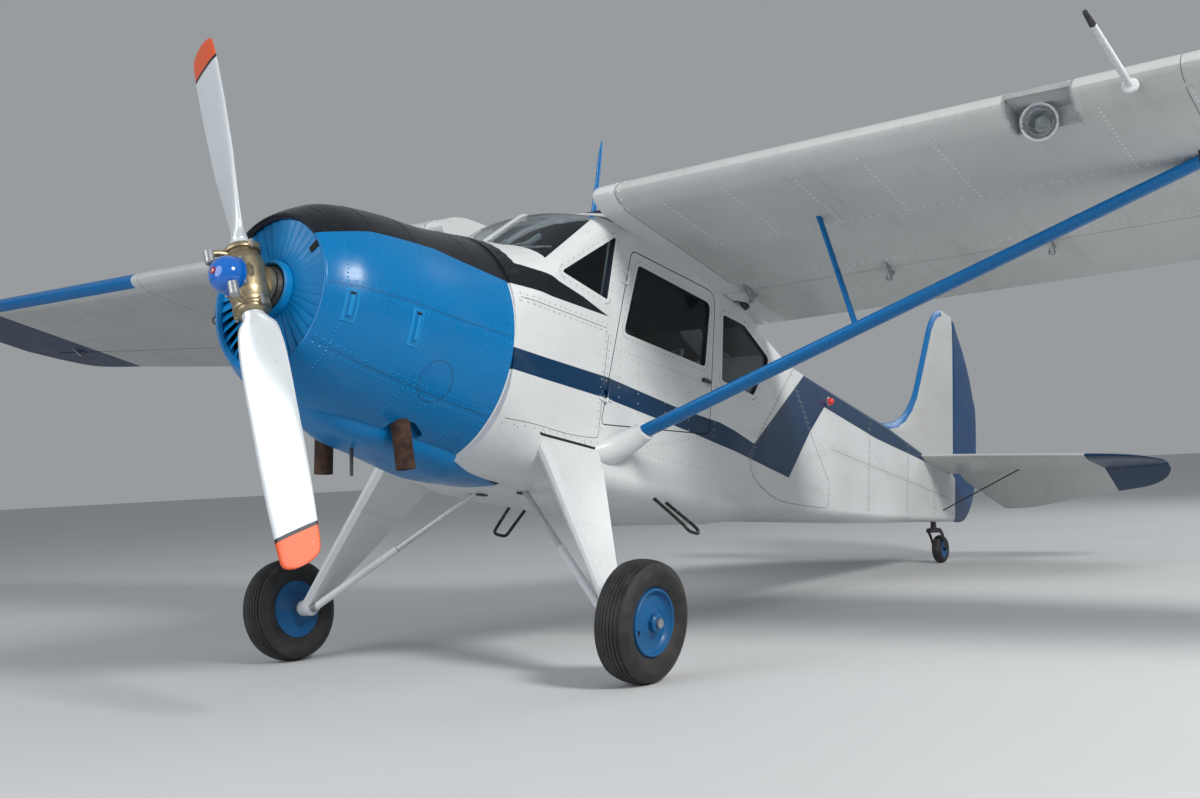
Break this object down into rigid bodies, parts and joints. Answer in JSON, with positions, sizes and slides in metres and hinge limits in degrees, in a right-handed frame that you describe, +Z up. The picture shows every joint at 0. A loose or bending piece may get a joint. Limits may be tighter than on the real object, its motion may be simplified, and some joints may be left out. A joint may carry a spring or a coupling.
{
  "type": "high-wing utility aircraft",
  "caption": "Full-size high-wing utility aircraft with a cowled radial engine, two-bladed propeller, braced wing, hinged cabin doors, fixed main gear and a castoring tail wheel.",
  "frame": {"origin": "centre of the bounding box's footprint, on the ground that the tyres stand on", "axes": "+X towards the nose, +Y to port along the wing span, +Z up"},
  "size_m": [9.0121, 12.58, 3.1359],
  "materials": {
    "engine_steel": "dull cast and machined metal",
    "cowl_blue": "glossy bright blue paint",
    "exhaust_rust": "heat-stained rusty steel",
    "hub_bronze": "bronze-coloured metal with a blue dome",
    "blade_silver": "satin, orange tips and a black band",
    "fuselage_white": "white paint with a blue band",
    "glass": "clear panes",
    "seat_fabric": "dark grey woven cloth",
    "panel_black": "matt black",
    "wing_grey": "light grey paint with blue tips",
    "strut_blue": "dark blue paint",
    "bare_metal": "plain metal",
    "tyre": "ribbed black rubber",
    "step_black": "black paint worn to metal"
  },
  "bodies": {
    "airframe": {"engine_block": "engine_steel", "cowl": "cowl_blue", "shutter_disc": "cowl_blue", "belly_fairing": "cowl_blue", "exhaust_left": "exhaust_rust", "exhaust_right": "exhaust_rust", "nose_section": "fuselage_white", "windscreen_frame": "fuselage_white", "cabin_floor": "fuselage_white", "cabin_side_left": "fuselage_white", "cabin_side_right": "fuselage_white", "windscreen": "glass", "quarter_window_left": "glass", "quarter_window_right": "glass", "rear_window_left": "glass", "rear_window_right": "glass", "front_seat_left": "seat_fabric", "front_seat_right": "seat_fabric", "rear_bench": "seat_fabric", "instrument_panel": "panel_black", "wing_centre": "fuselage_white", "wing_left": "wing_grey", "wing_right": "wing_grey", "strut_left": "strut_blue", "strut_right": "strut_blue", "gear_leg_left": "fuselage_white", "gear_leg_right": "fuselage_white", "gear_brace_left": "bare_metal", "gear_brace_right": "bare_metal", "rear_fuselage": "fuselage_white", "fin": "wing_grey", "stabiliser": "wing_grey", "tail_stay_left": "bare_metal", "tail_stay_right": "bare_metal", "entry_step_left": "step_black", "entry_step_right": "step_black"},
    "propeller": {"propeller_hub": "hub_bronze", "blade_upper": "blade_silver", "blade_lower": "blade_silver"},
    "main_wheel_left": {"main_tyre_left": "tyre", "main_wheel_left": "strut_blue"},
    "main_wheel_right": {"main_tyre_right": "tyre", "main_wheel_right": "strut_blue"},
    "tail_fork": {"tail_fork": "bare_metal"},
    "tail_wheel": {"tail_wheel": "tyre"},
    "door_left": {"door_left": "fuselage_white", "door_window_left": "glass"},
    "door_right": {"door_right": "fuselage_white", "door_window_right": "glass"},
    "rudder": {"rudder": "strut_blue"},
    "elevators": {"elevator_left": "wing_grey", "elevator_right": "wing_grey"},
    "aileron_left": {"aileron_left": "wing_grey"},
    "aileron_right": {"aileron_right": "wing_grey"},
    "flap_left": {"flap_left": "wing_grey"},
    "flap_right": {"flap_right": "wing_grey"}
  },
  "joints": [
    {"name": "propeller_spin", "type": "hinge", "parent": "airframe", "child": "propeller", "pos_m": [4.2703, 0, 1.884], "axis": [0.9849, 0, 0.173], "continuous": true},
    {"name": "main_wheel_left_spin", "type": "hinge", "parent": "airframe", "child": "main_wheel_left", "pos_m": [3.0713, 1.199, 0.28251], "axis": [0.0139, 0.9968, -0.079], "continuous": true},
    {"name": "main_wheel_right_spin", "type": "hinge", "parent": "airframe", "child": "main_wheel_right", "pos_m": [3.0713, -1.199, 0.28251], "axis": [-0.0139, 0.9968, 0.079], "continuous": true},
    {"name": "tail_swivel", "type": "hinge", "parent": "airframe", "child": "tail_fork", "pos_m": [-3.3037, 0, 0.3], "axis": [0, 0, 1], "continuous": true},
    {"name": "tail_wheel_spin", "type": "hinge", "parent": "tail_fork", "child": "tail_wheel", "pos_m": [-3.4337, 0, 0.125], "axis": [0, 1, 0], "continuous": true},
    {"name": "door_left_hinge", "type": "hinge", "parent": "airframe", "child": "door_left", "pos_m": [2.25571, 0.5728, 1.69267], "axis": [0.3594, 0, -0.9332], "range_deg": [0, 50]},
    {"name": "door_right_hinge", "type": "hinge", "parent": "airframe", "child": "door_right", "pos_m": [2.25571, -0.5728, 1.69267], "axis": [-0.3594, 0, 0.9332], "range_deg": [0, 50]},
    {"name": "rudder_hinge", "type": "hinge", "parent": "airframe", "child": "rudder", "pos_m": [-3.8543, 0, 1.16797], "axis": [-0.173, 0, 0.9849], "range_deg": [-25, 25]},
    {"name": "elevator_hinge", "type": "hinge", "parent": "airframe", "child": "elevators", "pos_m": [-3.64884, 0, 0.81316], "axis": [0, 1, 0], "range_deg": [0, 46]},
    {"name": "aileron_left_hinge", "type": "hinge", "parent": "airframe", "child": "aileron_left", "pos_m": [1.30354, 4.74, 2.13605], "axis": [0.1441, 0.9877, 0.0614], "range_deg": [-20, 20]},
    {"name": "aileron_right_hinge", "type": "hinge", "parent": "airframe", "child": "aileron_right", "pos_m": [1.30354, -4.74, 2.13605], "axis": [-0.1441, 0.9877, -0.0614], "range_deg": [-20, 20]},
    {"name": "flap_left_hinge", "type": "hinge", "parent": "airframe", "child": "flap_left", "pos_m": [1.11936, 2.016, 1.97937], "axis": [-0.0074, -0.9997, -0.0238], "range_deg": [0, 40]},
    {"name": "flap_right_hinge", "type": "hinge", "parent": "airframe", "child": "flap_right", "pos_m": [1.11936, -2.016, 1.97937], "axis": [0.0074, -0.9997, 0.0238], "range_deg": [0, 40]}
  ],
  "couplings": [
    {"joint": "aileron_right_hinge", "follows": "aileron_left_hinge", "ratio": -1},
    {"joint": "flap_right_hinge", "follows": "flap_left_hinge", "ratio": 1}
  ]
}
